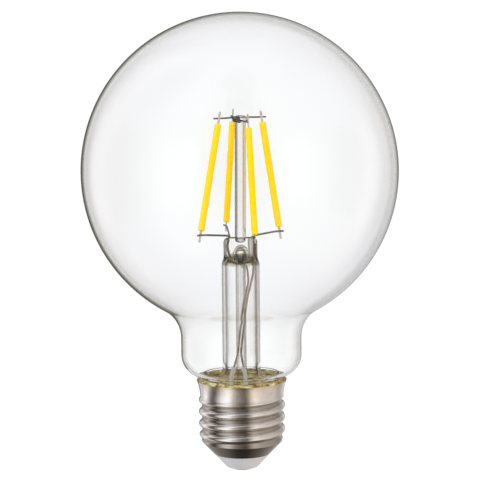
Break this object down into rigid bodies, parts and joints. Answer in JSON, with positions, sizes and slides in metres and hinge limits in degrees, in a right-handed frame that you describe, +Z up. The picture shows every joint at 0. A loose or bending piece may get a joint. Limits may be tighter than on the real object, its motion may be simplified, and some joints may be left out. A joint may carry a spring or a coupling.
{
  "type": "globe bulb",
  "caption": "Clear glass globe filament bulb with a screw cap: upright yellow light-emitting strips on a glass stem inside a round envelope.",
  "frame": {"origin": "middle of the contact face at the foot of the screw cap", "axes": "+Z up along the bulb's axis, from the contact to the top of the globe; -Y faces the viewer of the picture, +X to the viewer's right"},
  "size_m": [0.095, 0.095, 0.1382],
  "materials": {
    "clear_glass": "clear, smooth",
    "stem_clear_glass": "clear, flame-worked",
    "yellow_coating": "smooth silicone, slight sheen",
    "die_strip": "matt",
    "tab_metal": "plain sheet",
    "nickel_wire": "drawn",
    "copper_wire": "drawn",
    "sleeve_plastic": "translucent",
    "plated_cap": "nickel plate, satin",
    "cement": "baked, mottled",
    "insulator_ceramic": "semi-matt",
    "contact_metal": "pressed",
    "board_laminate": "matt",
    "component_black": "matt"
  },
  "bodies": {
    "root": {"globe_envelope": "clear_glass", "stem_glass": "stem_clear_glass", "exhaust_tube": "stem_clear_glass", "support_rod": "stem_clear_glass", "side_wire": "nickel_wire", "depth_wire": "nickel_wire", "lead_left": "nickel_wire", "lead_right": "nickel_wire", "branch_back": "nickel_wire", "branch_front": "nickel_wire", "sleeve_left": "sleeve_plastic", "sleeve_right": "sleeve_plastic", "cap_shell": "plated_cap", "capping_cement": "cement", "insulator": "insulator_ceramic", "centre_contact": "contact_metal", "contact_lead": "copper_wire", "shell_lead": "copper_wire", "driver_board": "board_laminate", "smoothing_capacitor": "component_black", "inductor": "component_black", "fusible_resistor": "component_black", "driver_chip": "component_black", "bridge_rectifier": "component_black", "coating_right": "yellow_coating", "die_strip_right": "die_strip", "tab_foot_right": "tab_metal", "tab_head_right": "tab_metal", "coating_back": "yellow_coating", "die_strip_back": "die_strip", "tab_foot_back": "tab_metal", "tab_head_back": "tab_metal", "coating_left": "yellow_coating", "die_strip_left": "die_strip", "tab_foot_left": "tab_metal", "tab_head_left": "tab_metal", "coating_front": "yellow_coating", "die_strip_front": "die_strip", "tab_foot_front": "tab_metal", "tab_head_front": "tab_metal"}
  },
  "joints": []
}
